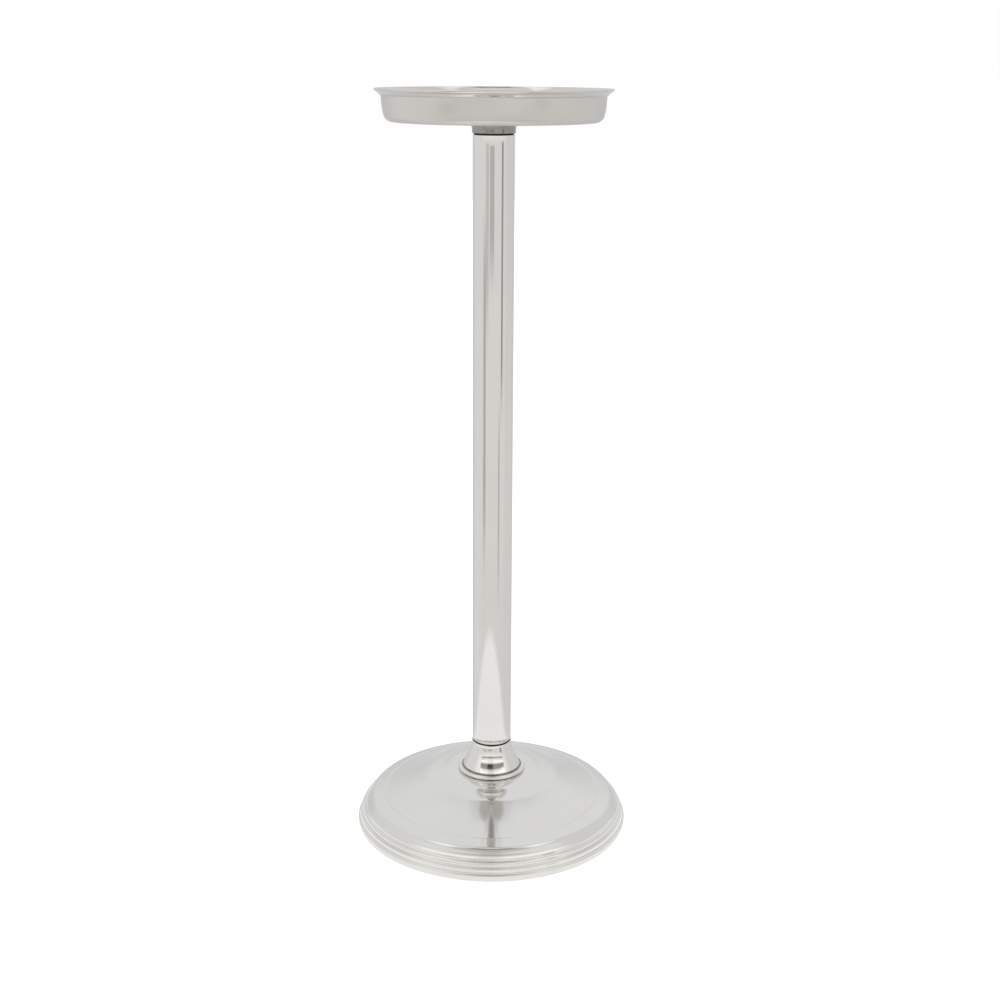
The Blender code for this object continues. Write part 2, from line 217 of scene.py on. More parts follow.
def hexagon(across_flats, limit=math.inf):
    """A radius that changes with the angle so that a loop is a hexagon, cut back to the limit."""
    def radius(angle):
        side = (angle + math.pi / 6) % (math.pi / 3) - math.pi / 6
        return min(across_flats / 2 / math.cos(side), limit)
    return radius


def threaded(radius, pitch, low, high):
    """Rows of a screw thread, from top to bottom, run out to a chamfer at both ends."""
    depth = 0.6 * pitch
    rows_per_turn = 6
    count = math.ceil((high - low) / pitch * rows_per_turn)
    rows = []
    for i in range(count + 1):
        z = high + (low - high) * i / count
        limit = radius - depth + 0.2 + min(z - low, high - z)

        def crest(angle, z=z, limit=limit):
            phase = (z / pitch - angle / (2.0 * math.pi)) % 1.0
            return min(radius - depth * max(0.0, abs(2.0 * phase - 1.0) * 1.15 - 0.15), limit)

        rows.append((crest, z))
    return rows


def carve(piece, cutters):
    """Takes the cutters out of a piece for good."""
    for cutter in cutters:
        boolean = piece.modifiers.new("Cut", "BOOLEAN")
        boolean.solver = "EXACT"
        boolean.object = cutter
    shape = piece.evaluated_get(bpy.context.evaluated_depsgraph_get())
    mesh = bpy.data.meshes.new_from_object(shape)
    piece.modifiers.clear()
    piece.data = mesh
    mesh.set_sharp_from_angle(angle=SHARP)
    for cutter in cutters:
        bpy.data.objects.remove(cutter, do_unlink=True)
    return piece


# ---------------------------------------------------------------- the tray
def make_dish():
    """Spun dish with a flared, rounded lip, a small corner and a well for the bolt's head."""
    top, floor, well = TRAY_TOP, TRAY_FLOOR, TRAY_WELL
    wall = TRAY_R - 5.6             # outer side of the wall, under the lip
    flat = wall - 8.2               # where the flat floor ends
    bead = 0.55                     # rounding of the lip's edge
    flare = [(TRAY_R - 0.6, top - 1.7, -150), (wall + 1.5, top - 4.4, -135), (wall, top - 5.8, -108)]
    side = [(wall, top - 6.1, -90), (wall - 0.7, top - 15.0, -97), (wall - 2.0, floor + 4.0, -108)]
    corner = [side[-1], (wall - 4.3, floor + 1.1, -138), (flat, floor, -180)]
    outer = arc((TRAY_R - bead, top - bead), bead, 135, -35, 8)
    outer += flow(flare, 0.3) + flow(side, 0.5) + flow(corner, 0.3)
    outer += run((flat, floor), (WELL_R, floor)) + run((WELL_R, floor), (WELL_R, well))
    outer += run((WELL_R, well), (TRAY_HOLE, well))
    well_inside, floor_inside = well + SHEET, floor + SHEET
    corner = [(flat, floor_inside, 0), (wall - 4.9, floor + 1.9, 42), (wall - 3.0, floor + 4.3, 72)]
    side = [corner[-1], (wall - 1.7, top - 15.0, 83), (wall - 1.0, top - 5.9, 90)]
    flare = [(wall - 1.0, top - 5.6, 70), (wall + 0.8, top - 4.1, 38), (TRAY_R - 3.4, top - 3.2, 44)]
    lip = [(TRAY_R - 3.4, top - 3.2, 48), (TRAY_R - 1.2, top - 0.7, 52)]
    inner = [(TRAY_HOLE, well_inside), (8.4, well_inside)]
    inner += arc((WELL_R - SHEET - 0.7, well_inside + 0.7), 0.7, -90, 0, 5)
    inner += arc((WELL_R, floor_inside - SHEET), SHEET, 180, 90, 5)
    inner += run((WELL_R, floor_inside), (flat, floor_inside))
    inner += flow(corner, 0.3) + flow(side, 0.5) + flow(flare, 0.3) + flow(lip, 0.3)
    return turned("spun_dish", outer + inner, BROAD)


def make_tray_collar():
    """Collar under the dish, flaring out to meet it, with a web that the bolt clamps."""
    low, high, web = COLLAR_LOW, COLLAR_HIGH, TRAY_WELL - 0.3
    neck, pocket = TUBE_R + 0.6, WELL_R + 0.3
    flare, edge = 3.2, 0.4
    foot = high - 1.4 - flare       # lower end of the flare
    outer = [(COLLAR_R - 0.3, high)] + arc((COLLAR_R - edge, high - edge), edge, 60, -60, 5)
    outer += arc((neck + flare, foot), flare, 90, 180, 12)
    outer += run((neck, foot), (neck, low + edge), 0.5) + arc((neck - edge, low + edge), edge, 0, -90, 4)
    inner = [(TRAY_HOLE, low), (TRAY_HOLE, web), (pocket, web), (pocket, high)]
    return turned("flared_collar", outer + inner, NARROW)


def make_tray_bolt():
    """Low round-headed bolt with a hexagon socket and a real thread."""
    _, tip, top = span("tray_bolt")
    seat = top - 2.7
    head, socket, shank = 7.0, 5.0, 4.0
    rows = [(hexagon(socket), top - 2.0), (hexagon(socket), top - 0.15), (hexagon(socket + 0.3), top)]
    rows += flow([(4.2, top, 0), (6.2, top - 0.7, -42), (head, top - 1.9, -90)], 0.4)
    rows += [(head, seat + 0.2), (head - 0.2, seat), (shank, seat), (shank, tip + 22.0)]
    rows += threaded(shank, M8_PITCH, tip, tip + 21.5)
    return turned("socket_bolt", rows, SMALL, ring=False)


# ---------------------------------------------------------------- the tube
def make_tube():
    """Tube with slightly rounded ends."""
    bore, edge = TUBE_R - 1.2, 0.3
    outer = arc((TUBE_R - edge, TUBE_HIGH - edge), edge, 90, 0, 4)
    outer += run(outer[-1], (TUBE_R, TUBE_LOW + edge))
    outer += arc((TUBE_R - edge, TUBE_LOW + edge), edge, 0, -90, 4)
    inner = [(bore, TUBE_LOW)] + run((bore, TUBE_LOW), (bore, TUBE_HIGH))
    return turned("polished_tube", outer + inner, NARROW)


def make_plug(name, bore):
    """Threaded plug of a tube's end, with three grip grooves round it."""
    radius, low, high = span(name)
    grooves, groove, sink = 3, 0.6, 0.8
    outer = [(radius - 0.6, high), (radius, high - 0.6)]
    for i in range(grooves):
        z = high - (i + 1) * (high - low) / (grooves + 1)
        outer += arc((radius, z), groove, 90, 270, 6)
    outer += [(radius, low + 0.6), (radius - 0.6, low)]
    inner = [(bore + sink, low), (bore, low + sink), (bore, high - sink), (bore + sink, high)]
    return turned(name.replace("plug", "grooved_plug"), outer + inner, SMALL)


# ---------------------------------------------------------------- the base
def make_dome():
    """Sheet with a bell-shaped crown round a nearly level seat, a plain band, a shoulder and a beaded rim."""
    edge, seat = BASE_R, 28.0
    crown = [(seat, 1), (36, 2), (37.6, 8), (39, 22), (40.4, 12), (43, 8), (48, 9), (52, 15), (56.5, 29.5)]
    crown = falling((seat, SEAT), crown + [(60, 27.5), (73, 23.5), (89.2, 19)])
    crease = falling(crown[-1], [(89.2, 19), (89.4, -24), (90.1, -24), (90.4, 17)], 0.1)
    band = falling(crease[-1], [(90.4, 17), (98.6, 17.5), (99.6, 22)])
    shoulder = flow([(*band[-1], -27), (edge - 8.3, 18.9, -46), (edge - 7.0, 17.0, -61)], 0.4)
    shoulder += flow([(edge - 6.95, 16.9, -70), (edge - 6.6, 15.6, -76)], 0.3)
    rim = [(edge - 6.5, 15.4, -90), (edge - 5.4, 14.9, 0), (edge - 3.8, 12.4, -80), (edge - 4.0, 11.0, -90)]
    rim += [(edge - 2.7, 10.4, 0), (edge - 1.6, 8.0, -70), (edge - 1.8, 6.5, -90)]
    rim += [(edge - 0.7, 5.7, -20), (edge, 2.8, -90), (edge - 1.2, BASE_LOW, 180)]
    outer = [(BASE_HOLE, SEAT)] + run((BASE_HOLE, SEAT), (seat, SEAT), 6.0)
    outer += crown + crease + band + shoulder + flow(rim, 0.25)
    inner = [(edge - 3.4, BASE_LOW), (edge - 4.6, 2.0), (edge - 4.8, 9.0), (edge - 7.7, 13.9)]
    inner += [(r - 0.5, z - SHEET) for r, z in reversed(crown[::4] + band[::4] + shoulder[:-4:3])]
    return turned("spun_dome", outer + inner + [(BASE_HOLE, SEAT - SHEET)], BROAD)


def make_cone():
    """Cone under the tube with its rolled foot, which rests on the dome's seat."""
    low, high, top_r = SEAT + SEAT_GAP, CONE_HIGH, TUBE_R + 0.5
    edge, roll = 0.6, 1.7
    foot, groove = (23.7, 49.7), 48.9       # end of the slope, and the height of the groove below it
    outer = [(TUBE_R - 0.2, high)] + arc((top_r - edge, high - edge), edge, 80, 0, 5)
    outer += flow([(top_r, high - edge, -86), (19.4, 60.0, -70), (*foot, -66)], 0.5)
    outer += flow([(*foot, -62), (24.6, groove, -12), (25.4, groove, 10)], 0.2)
    outer += arc((CONE_R - roll, low + roll), roll, 118, -90, 16)
    inner = [(21.7, low), (14.0, high - 4.0), (BASE_HOLE, high - 4.0), (BASE_HOLE, high)]
    return turned("cone_collar", outer + inner, NARROW)


def make_weight():
    """Cast disc with drafted sides, rounded edges, a hub and a nut pocket."""
    radius, low, high = span("base_weight")
    deck, pocket, edge = 18.4, 18.0, 1.2
    outer = [(BASE_HOLE, high), (20.0, high), (21.6, high - edge)]
    outer += flow([(21.8, high - 2.0, -88), (24.0, 23.5, -80), (28.5, 18.5, -8), (32.0, deck, 0)], 1.2)
    outer += run((32.0, deck), (radius - 3.2, deck - 0.3)) + arc((radius - 3.2, deck - 3.5), 2.9, 90, 2, 6)
    outer += arc((radius - edge, low + edge), edge, 0, -90, 4) + run((radius - edge, low), (15.4, low))
    inner = [(14.2, low + edge), (14.0, pocket), (BASE_HOLE, pocket)]
    return turned("cast_weight", outer + inner, BROAD // 2)


def make_cover():
    """Pressed steel cover with a turned-up edge, a shallow stiffening ring and three screw holes."""
    radius, low, high = span("base_cover")
    hole, screw_hole = 16.0, 2.3
    up = [(76.0, low, 180), (74.0, low + 0.6, 150), (72.0, low + 0.6, 180)]
    down = [(70.0, low + 0.6, 180), (68.0, low, 210), (66.0, low, 180)]
    under = [(radius - 0.5, high), (radius, high - 0.4), (radius, low + 0.5), (radius - 0.5, low)]
    under += run(under[-1], up[0][:2]) + flow(up, 0.3) + flow(down, 0.3)
    under += run(under[-1], (hole + 0.4, low))
    under += [(hole, low + 0.4), (hole, high - 0.4), (hole + 0.4, high)]
    cover = turned("pressed_cover", under + run((hole + 0.4, high), (radius - 0.5, high)), BROAD // 2)
    holes = []
    for i in range(3):
        at = place(f"cover_screw_{i + 1}")
        ends = [(screw_hole, high + 2.0), (screw_hole, low - 2.0)]
        holes.append(turned("hole", ends, 24, ring=False, at=at))
    return carve(cover, holes)


def make_foot(name):
    """Round rubber bumper with a rounded edge and a shallow hollow underneath."""
    radius, low, high = span(name)
    outline = [(1.0, high), (radius - 1.0, high)] + arc((radius - 0.4, high - 0.4), 0.4, 90, 0, 3)
    outline += arc((radius - 0.8, low + 0.8), 0.8, 0, -90, 6)
    outline += flow([(4.6, low, 180), (3.6, low + 0.3, 160), (1.0, low + 0.4, 180)], 0.4)
    return turned(name.replace("base", "rubber"), outline, SMALL, ring=False, at=place(name))


def make_cover_screw(name):
    """Pan-headed screw, head down, with a cross recess and a real thread."""
    radius, low, high = span(name)
    at = place(name)
    under = low + 1.3
    rows = flow([(0.4, low, 0), (2.7, low + 0.25, 14), (radius, under - 0.2, 88)], 0.3)
    rows += [(radius - 0.1, under), (SCREW_R, under), (SCREW_R, under + 0.5)]
    rows += reversed(threaded(SCREW_R, SCREW_PITCH, under + 0.6, high))
    screw = turned(name.replace("cover", "cross"), rows, SMALL, ring=False, at=at)
    slots = []
    reach, thin = 1.9, 0.32
    for wide, deep in ((reach, thin), (thin, reach)):
        corners = ((-wide, -deep), (wide, -deep), (wide, deep), (-wide, deep))
        loops = []
        for z, scale in ((low - 1.0, 1.0), (low + 0.9, 0.7)):
            loops.append([(at[0] + x * scale, at[1] + y * scale, z) for x, y in corners])
        slots.append(skin("slot", loops, ring=False))
    return carve(screw, slots)


def make_nut(name, across_flats, bore):
    """Hexagon nut with chamfered corners and a countersunk bore."""
    _, low, high = span(name)
    corner, sink = across_flats / math.sqrt(3.0), 0.8
    cuts = ((0.0, 0.9), (0.4, 0.45), (0.9, 0.0))    # (depth below the face, cut off the corners)
    rows = [(hexagon(across_flats, corner - cut), high - depth) for depth, cut in cuts]
    rows += [(hexagon(across_flats, corner - cut), low + depth) for depth, cut in reversed(cuts)]
    rows += [(bore + sink, low), (bore, low + sink), (bore, high - sink), (bore + sink, high)]
    return turned(name.replace("nut", "hexagon_nut"), rows, SMALL)


def make_washer(name, bore):
    """Flat ring with rounded edges."""
    radius, low, high = span(name)
    edge = min(0.3, (high - low) * 0.4)
    return turned(name.replace("_", "_flat_", 1), ring_section(bore, radius, low, high, edge), NARROW)


def make_spring_washer():
    """Split ring; its ends are cut on a slant and stand a little apart."""
    radius, low, high = span("base_spring_washer")
    section = ring_section(BASE_HOLE, radius, low, high, 0.2)
    loops = []
    count = 80
    first, swept, slanted = 10.0, 337.0, 3.0        # degrees
    for i in range(count + 1):
        loop = []
        for r, z in section:
            slant = slanted * (z - low) / (high - low)
            angle = math.radians(first + slant + swept * i / count)
            loop.append((r * math.cos(angle), r * math.sin(angle), z))
        loops.append(loop)
    return skin("split_washer", loops, ring=False)


def make_stud():
    """Threaded rod through the base."""
    radius, low, high = span("base_stud")
    return turned("threaded_stud", threaded(radius, M10_PITCH, low, high), SMALL, ring=False)


# ---------------------------------------------------------------- node helpers
class Graph:
    """Short calls for building a node tree."""

    def __init__(self, tree):
        self.tree = tree

    def add(self, kind, **settings):
        node = self.tree.nodes.new(kind)
        for key, value in settings.items():
            setattr(node, key, value)
        return node

    def put(self, value, socket):
        if isinstance(value, bpy.types.NodeSocket):
            self.tree.links.new(value, socket)
        else:
            socket.default_value = value

    def math(self, operation, a, b=0.0):
        node = self.add("ShaderNodeMath", operation=operation)
        self.put(a, node.inputs[0])
        self.put(b, node.inputs[1])
        return node.outputs[0]

    def ramp(self, value, start, end, low=0.0, high=1.0, kind="SMOOTHSTEP"):
        """Runs from low at start to high at end, and stays there."""
        node = self.add("ShaderNodeMapRange", interpolation_type=kind)
        sockets = ("Value", "From Min", "From Max", "To Min", "To Max")
        for key, item in zip(sockets, (value, start, end, low, high)):
            self.put(item, node.inputs[key])
        return node.outputs[0]

    def near(self, value, middle, half, soft):
        """1 within half of the middle, falling smoothly to 0 over soft."""
        off = self.math("ABSOLUTE", self.math("SUBTRACT", value, middle))
        return self.ramp(off, half, half + soft, 1.0, 0.0)

    def blend(self, factor, a, b):
        """Colour a where the factor is 0, b where it is 1."""
        node = self.add("ShaderNodeMix", data_type="RGBA")
        self.put(factor, node.inputs["Factor"])
        self.put(a, node.inputs[6])
        self.put(b, node.inputs[7])
        return node.outputs[2]

    def noise(self, scale, detail, where, dimensions="3D"):
        node = self.add("ShaderNodeTexNoise", noise_dimensions=dimensions)
        node.inputs["Scale"].default_value = scale
        node.inputs["Detail"].default_value = detail
        self.put(where, node.inputs["W" if dimensions == "1D" else "Vector"])
        return node.outputs[0]

    def bump(self, height, distance):
        node = self.add("ShaderNodeBump")
        node.inputs["Distance"].default_value = distance
        self.put(height, node.inputs["Height"])
        return node.outputs[0]


# ---------------------------------------------------------------- materials
def material(name, metallic=0.0, roughness=0.5, colour=(0.8, 0.8, 0.8, 1.0)):
    """A new material, its node graph and its Principled shader."""
    made = bpy.data.materials.new(name)
    made.use_nodes = True
    shader = made.node_tree.nodes["Principled BSDF"]
    shader.inputs["Base Color"].default_value = colour
    shader.inputs["Metallic"].default_value = metallic
    shader.inputs["Roughness"].default_value = roughness
    return made, Graph(made.node_tree), shader


def turning_lines(graph, density):
    """A pattern of fine rings round the upright axis, as turning and buffing leave them."""
    spot = graph.add("ShaderNodeTexCoord").outputs["Object"]
    parts = graph.add("ShaderNodeSeparateXYZ")
    graph.put(spot, parts.inputs[0])
    x, y, z = parts.outputs
    radius = graph.math("SQRT", graph.math("ADD", graph.math("MULTIPLY", x, x), graph.math("MULTIPLY", y, y)))
    rise = 1.37                     # the lines follow the height too, so that upright faces get them
    way = graph.math("ADD", radius, graph.math("MULTIPLY", z, rise))
    return graph.noise(density, 4.0, way, "1D"), spot, radius


def steel(name, roughness, colour, shade, lines=0.02, relief=0.0000015, painted_groove_shade=None, lip=None):
    """Polished stainless steel: fine turning lines, faint wiping marks and a slightly uneven tone.

    The painted groove shade is (radius, half width, soft edge) of a dark ring painted into the colour,
    standing in for the shade in a groove. The lip is (radius, roughness) of a rim that is polished brighter
    than the rest.
    """
    smears = 0.02                   # what the wiping marks add to the roughness
    made, graph, shader = material(name, 1.0)
    rings, spot, radius = turning_lines(graph, 2600.0)
    smear = graph.noise(14.0, 5.0, spot)
    tone = graph.blend(graph.ramp(smear, 0.3, 0.7), (*shade, 1.0), (*colour, 1.0))
    if painted_groove_shade:
        # painted shade: a patchy dark ring in the colour where the groove above the cone's foot lies in shade
        groove_shade_mask = graph.near(radius, *painted_groove_shade)
        groove_shade_mask = graph.math("MULTIPLY", groove_shade_mask, graph.ramp(graph.noise(420.0, 3.0, spot), 0.3, 0.7, 0.8, 1.0))
        tone = graph.blend(groove_shade_mask, tone, (0.16, 0.142, 0.128, 1.0))
    graph.put(tone, shader.inputs["Base Color"])
    rough = graph.ramp(rings, 0.25, 0.75, roughness, roughness + lines, "LINEAR")
    rough = graph.math("ADD", rough, graph.ramp(smear, 0.42, 0.75, 0.0, smears))
    if lip:
        rough = graph.ramp(radius, lip[0] - 0.0006, lip[0], rough, lip[1])
    graph.put(rough, shader.inputs["Roughness"])
    graph.put(graph.bump(rings, relief), shader.inputs["Normal"])
    return made


def make_zinc():
    """Bright zinc plate: a cool grey with a fine spangle and a few dull patches."""
    made, graph, shader = material("zinc_plate", 1.0)
    rings, spot, _ = turning_lines(graph, 4000.0)
    spangle = graph.noise(520.0, 3.0, spot)
    colour = graph.blend(graph.ramp(spangle, 0.35, 0.65), (0.55, 0.57, 0.60, 1.0), (0.70, 0.70, 0.69, 1.0))
    graph.put(colour, shader.inputs["Base Color"])
    patches = graph.noise(70.0, 4.0, spot)
    graph.put(graph.ramp(patches, 0.4, 0.7, 0.24, 0.44), shader.inputs["Roughness"])
    graph.put(graph.bump(graph.math("ADD", rings, spangle), 0.000008), shader.inputs["Normal"])
    return made


def make_iron():
    """Black-primed sand casting: pitted, matt, with bare rusty-brown specks."""
    made, graph, shader = material("cast_iron", 0.0)
    spot = graph.add("ShaderNodeTexCoord").outputs["Object"]
    sand = graph.noise(900.0, 6.0, spot)
    patches = graph.noise(60.0, 4.0, spot)
    primer = graph.blend(graph.ramp(sand, 0.3, 0.7), (0.018, 0.018, 0.020, 1.0), (0.05, 0.048, 0.046, 1.0))
    colour = graph.blend(graph.ramp(patches, 0.64, 0.74), primer, (0.10, 0.055, 0.035, 1.0))
    graph.put(colour, shader.inputs["Base Color"])
    graph.put(graph.ramp(patches, 0.3, 0.7, 0.62, 0.85), shader.inputs["Roughness"])
    graph.put(graph.bump(sand, 0.0004), shader.inputs["Normal"])
    return made


def make_powder_coat():
    """Black powder coat with its fine orange-peel texture."""
    made, graph, shader = material("powder_coat", 0.0)
    spot = graph.add("ShaderNodeTexCoord").outputs["Object"]
    peel = graph.noise(1300.0, 2.0, spot)
    dust = graph.noise(35.0, 6.0, spot)
    colour = graph.blend(graph.ramp(dust, 0.5, 0.8), (0.026, 0.026, 0.028, 1.0), (0.06, 0.059, 0.057, 1.0))
    graph.put(colour, shader.inputs["Base Color"])
    graph.put(graph.ramp(dust, 0.3, 0.7, 0.36, 0.52), shader.inputs["Roughness"])
    graph.put(graph.bump(peel, 0.00008), shader.inputs["Normal"])
    return made


def make_rubber():
    """Moulded black rubber, matt and slightly dusty."""
    made, graph, shader = material("black_rubber", 0.0)
    spot = graph.add("ShaderNodeTexCoord").outputs["Object"]
    grain = graph.noise(1800.0, 3.0, spot)
    bloom = graph.noise(120.0, 5.0, spot)
    colour = graph.blend(graph.ramp(bloom, 0.4, 0.8), (0.014, 0.014, 0.015, 1.0), (0.045, 0.044, 0.043, 1.0))
    graph.put(colour, shader.inputs["Base Color"])
    graph.put(graph.ramp(bloom, 0.3, 0.7, 0.62, 0.8), shader.inputs["Roughness"])
    graph.put(graph.bump(grain, 0.00006), shader.inputs["Normal"])
    return made


# ---------------------------------------------------------------- studio
# What the steel mirrors, in degrees as seen from the stand: azimuth 0 is towards the camera, 90 to its right.
# Each row is azimuth, half width, soft edge, elevation, half height, soft edge, and the change in light.
PANELS = (
    (-34.0, 4.0, 8.0, -3.5, 3.5, 4.0, -0.24),      # dark flag on the left, leaning outwards as it goes down
    (-49.0, 3.0, 9.0, -12.0, 3.5, 4.0, -0.38),
    (50.0, 2.5, 5.0, -4.5, 6.0, 3.0, -0.58),       # dark flag on the right, leaning inwards
    (36.0, 2.0, 5.0, -16.0, 1.5, 3.0, -0.32),
    (-8.0, 9.0, 6.0, -3.5, 2.5, 2.5, -0.34),       # table edge behind the camera
    (0.0, 9.0, 6.0, 38.0, 18.0, 6.0, -0.14),       # camera and its stand
    (0.0, 42.0, 18.0, 59.0, 4.0, 6.0, -0.30),      # gap between the front and the overhead lights
    (2.0, 34.0, 14.0, 71.0, 4.5, 4.0, -0.62),
    (-78.0, 16.0, 14.0, 64.0, 4.0, 4.0, 0.40),     # overhead lights on both sides
    (78.0, 16.0, 14.0, 64.0, 4.0, 4.0, 0.40),
    (180.0, 70.0, 20.0, 88.0, 11.5, 6.0, -0.14),   # dim ceiling between them
    (-180.0, 70.0, 20.0, 88.0, 11.5, 6.0, -0.14),
)
# Strips on the wall behind the camera, which curves a little round the stand. Each row is the height for a
# distance of 100, half height, soft edge, change in light, and what the camera adds to that change.
STRIPS = (
    (23.3, 1.0, 1.2, -0.55, -0.12),                # dark bars
    (35.2, 2.6, 2.0, -0.66, -0.26),
    (47.5, 1.0, 1.4, -0.34, -0.10),
    (27.6, 0.9, 1.5, 0.24, -0.24),                 # strip lights
    (42.0, 1.0, 1.6, 0.24, -0.20),
)


def plain_light(graph, azimuth, elevation, off):
    """Light of the studio without its flags, lamps and strips; off is the azimuth without its sign."""
    front = graph.ramp(elevation, -52.0, -44.0, 0.52, 0.74)
    front = graph.math("ADD", front, graph.ramp(elevation, -30.0, -12.0, 0.0, 0.08))
    front = graph.math("ADD", front, graph.ramp(elevation, 2.0, 13.0, 0.0, 0.22))
    front = graph.math("ADD", front, graph.ramp(elevation, 22.0, 28.0, 0.0, 0.07))
    front = graph.math("SUBTRACT", front, graph.ramp(elevation, 35.0, 46.0, 0.0, 0.25))
    sides = graph.ramp(azimuth, -60.0, 60.0, 0.82, 0.76)
    back = graph.ramp(elevation, -4.0, 34.0, 0.70, 0.86)
    light = graph.ramp(graph.ramp(off, 52.0, 88.0), 0.0, 1.0, front, sides)
    return graph.ramp(graph.ramp(off, 112.0, 145.0), 0.0, 1.0, light, back)


def changed(graph, light, where, change):
    """The light with a relative change where the mask is 1."""
    return graph.math("MULTIPLY", light, graph.math("ADD", graph.math("MULTIPLY", where, change), 1.0))


def wall_height(graph, y, z):
    """Height above the stand, for a distance of 100, at which a direction meets the curved wall."""
    away = graph.math("POWER", graph.math("ABSOLUTE", y), 0.6)
    level = graph.math("SQRT", graph.math("SUBTRACT", 1.0, graph.math("MULTIPLY", z, z)))
    across = graph.math("POWER", level, 0.4)
    return graph.math("DIVIDE", graph.math("MULTIPLY", z, 100.0), graph.math("MULTIPLY", away, across))


def make_world():
    """A bright studio all round, seen only in reflections; straight views of it are plain white."""
    world = bpy.data.worlds.new("studio")
    bpy.context.scene.world = world
    world.use_nodes = True
    graph = Graph(world.node_tree)
    world.node_tree.nodes.clear()
    way = graph.add("ShaderNodeTexCoord").outputs["Generated"]
    parts = graph.add("ShaderNodeSeparateXYZ")
    graph.put(way, parts.inputs[0])
    x, y, z = parts.outputs
    degrees = 180.0 / math.pi
    azimuth = graph.math("MULTIPLY", graph.math("ARCTAN2", x, graph.math("MULTIPLY", y, -1.0)), degrees)
    elevation = graph.math("MULTIPLY", graph.math("ARCSINE", z), degrees)
    off = graph.math("ABSOLUTE", azimuth)
    light = plain_light(graph, azimuth, elevation, off)
    for azimuth_at, wide, azimuth_soft, elevation_at, high, elevation_soft, change in PANELS:
        panel = graph.near(azimuth, azimuth_at, wide, azimuth_soft)
        panel = graph.math("MULTIPLY", panel, graph.near(elevation, elevation_at, high, elevation_soft))
        light = changed(graph, light, panel, change)
    wall = wall_height(graph, y, z)
    facing = graph.near(azimuth, 4.0, 50.0, 6.0)
    middle = graph.near(azimuth, -6.0, 8.0, 8.0)
    for height, half, soft, change, centre in STRIPS:
        strip = graph.math("MULTIPLY", graph.near(wall, height, half, soft), facing)
        change = graph.math("ADD", graph.math("MULTIPLY", middle, centre), change)
        light = changed(graph, light, strip, change)
    studio = graph.add("ShaderNodeBackground")
    warm, cool = (1.0, 0.99, 0.965, 1.0), (0.985, 0.99, 1.0, 1.0)
    graph.put(graph.blend(graph.ramp(off, 60.0, 140.0), warm, cool), studio.inputs["Color"])
    graph.put(light, studio.inputs["Strength"])
    white = graph.add("ShaderNodeBackground")
    white.inputs["Color"].default_value = (1.0, 1.0, 1.0, 1.0)
    choose = graph.add("ShaderNodeMixShader")
    graph.put(graph.add("ShaderNodeLightPath").outputs["Is Camera Ray"], choose.inputs[0])
    graph.put(studio.outputs[0], choose.inputs[1])
    graph.put(white.outputs[0], choose.inputs[2])
    graph.put(choose.outputs[0], graph.add("ShaderNodeOutputWorld").inputs["Surface"])


def disc(name, radius, centre):
    """A flat round sheet of the studio."""
    shape = bmesh.new()
    bmesh.ops.create_circle(shape, cap_ends=True, segments=96, radius=radius)
    mesh = bpy.data.meshes.new(name)
    shape.to_mesh(mesh)
    shape.free()
    sheet = bpy.data.objects.new(name, mesh)
    sheet.location = centre
    bpy.context.scene.collection.objects.link(sheet)
    return sheet


def make_reflector():
    """A round white reflector on the floor in front of the stand, seen only as a reflection in the steel."""
    radius, fades_from = 0.32, 0.75
    reflector = disc("reflector", radius, (-0.04, -0.18, 0.0002))
    made = bpy.data.materials.new("reflector_white")
    made.use_nodes = True
    graph = Graph(made.node_tree)
    made.node_tree.nodes.clear()
    length = graph.add("ShaderNodeVectorMath", operation="LENGTH")
    graph.put(graph.add("ShaderNodeTexCoord").outputs["Object"], length.inputs[0])
    glow = graph.add("ShaderNodeEmission")
    glow.inputs["Color"].default_value = (1.0, 0.995, 0.98, 1.0)
    glow.inputs["Strength"].default_value = 0.99
    choose = graph.add("ShaderNodeMixShader")
    graph.put(graph.ramp(length.outputs["Value"], fades_from * radius, radius, 1.0, 0.0), choose.inputs[0])
    graph.put(graph.add("ShaderNodeBsdfTransparent").outputs[0], choose.inputs[1])
    graph.put(glow.outputs[0], choose.inputs[2])
    graph.put(choose.outputs[0], graph.add("ShaderNodeOutputMaterial").inputs["Surface"])
    reflector.data.materials.append(made)
    reflector.visible_camera = False
    reflector.visible_diffuse = False
    reflector.visible_shadow = False


def make_floor():
    """A plain white floor, lit evenly enough to vanish into the white behind it, just clear of the feet."""
    floor = disc("floor", 6.0, (0.0, 0.0, -0.0002))
    made, _, shader = material("floor_white", 0.0, 0.9, (0.97, 0.97, 0.97, 1.0))
    shader.inputs["Specular IOR Level"].default_value = 0.0
    shader.inputs["Emission Color"].default_value = (1.0, 1.0, 1.0, 1.0)
    shader.inputs["Emission Strength"].default_value = 0.45
    floor.data.materials.append(made)
    floor.visible_glossy = False


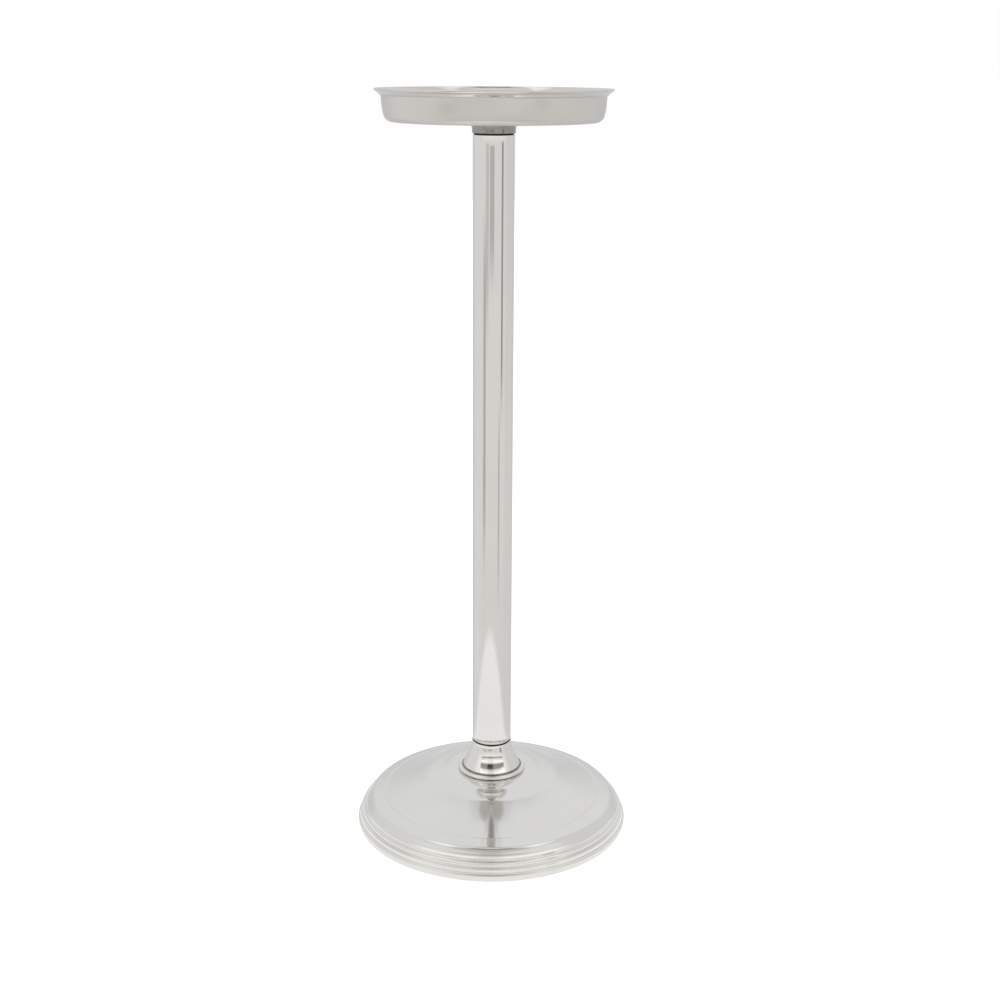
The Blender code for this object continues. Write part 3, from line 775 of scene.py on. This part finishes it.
# ---------------------------------------------------------------- assembly
def make_looks():
    """Materials by the record's material slot, and those of pieces that differ from their slot's finish; the
    tray's collar and the cone carry painted shade.
    """
    bright, shade = (0.80, 0.79, 0.77), (0.77, 0.762, 0.745)
    satin, dull = (0.74, 0.715, 0.69), (0.72, 0.695, 0.672)
    # the tray's collar: a dark steel colour that paints in the shade under the tray's flare
    painted_shade_collar, painted_shade_collar_mottle = (0.36, 0.35, 0.335), (0.33, 0.322, 0.31)
    lip = ((TRAY_R - 3.9) * MM, 0.07)
    # painted shade in the groove above the cone's foot: its radius, half width and soft edge
    groove = (GROOVE_SHADE_R * MM, 0.0004, 0.0005)
    looks = {
        "polished_steel": steel("mirror_steel", 0.03, bright, shade),
        "zinc_steel": make_zinc(),
        "cast_iron": make_iron(),
        "painted_cover": make_powder_coat(),
        "black_rubber": make_rubber(),
    }
    own = {
        "tray_dish": steel("satin_steel", 0.31, satin, dull, 0.05, relief=0.0000025, lip=lip),
        # painted shade: the collar's dark colours stand in for the shade under the tray's flare
        "tray_collar": steel("turned_steel_painted_shade", 0.12, painted_shade_collar, painted_shade_collar_mottle, 0.06),
        "base_dome": steel("spun_steel", 0.08, bright, shade),
        # painted shade: a dark ring in the colour of the groove above the cone's foot
        "base_collar": steel("steel_with_painted_groove_shade", 0.03, bright, shade, painted_groove_shade=groove),
    }
    return looks, own


def make_pieces():
    """Every piece, with the CAD node that it stands for."""
    made = {
        "tray_dish": make_dish(),
        "tray_collar": make_tray_collar(),
        "tray_bolt": make_tray_bolt(),
        "tray_washer": make_washer("tray_washer", M8_BORE),
        "tray_nut": make_nut("tray_nut", M8_FLATS, M8_BORE),
        "pole_tube": make_tube(),
        "upper_plug": make_plug("upper_plug", M8_BORE),
        "lower_plug": make_plug("lower_plug", M10_BORE),
        "upper_seal_ring": make_washer("upper_seal_ring", SEAL_BORE),
        "lower_seal_ring": make_washer("lower_seal_ring", SEAL_BORE),
        "base_dome": make_dome(),
        "base_collar": make_cone(),
        "base_weight": make_weight(),
        "base_cover": make_cover(),
        "base_stud": make_stud(),
        "base_washer": make_washer("base_washer", M10_BORE),
        "base_spring_washer": make_spring_washer(),
        "base_nut": make_nut("base_nut", M10_FLATS, M10_BORE),
        "dome_washer": make_washer("dome_washer", M10_BORE),
        "dome_nut": make_nut("dome_nut", M10_FLATS, M10_BORE),
    }
    for i in range(4):
        made[f"base_foot_{i + 1}"] = make_foot(f"base_foot_{i + 1}")
    for i in range(3):
        made[f"cover_screw_{i + 1}"] = make_cover_screw(f"cover_screw_{i + 1}")
    return made


def main():
    """Builds the studio and the stand, and fits each piece in place of its CAD node."""
    make_camera()
    make_world()
    make_floor()
    make_reflector()
    bpy.context.scene.view_settings.view_transform = "Standard"
    looks, own = make_looks()
    record = frame["record"]
    slots = {row["node"]: row["material_slot"] for row in record["subparts"]}
    bodies = {node: body for body, nodes in record["behaviour"]["bodies"].items() for node in nodes}
    for node, piece in make_pieces().items():
        piece.data.materials.clear()
        piece.data.materials.append(own.get(node, looks[slots[node]]))
        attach(piece, bodies[node])
        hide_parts(node)


main()
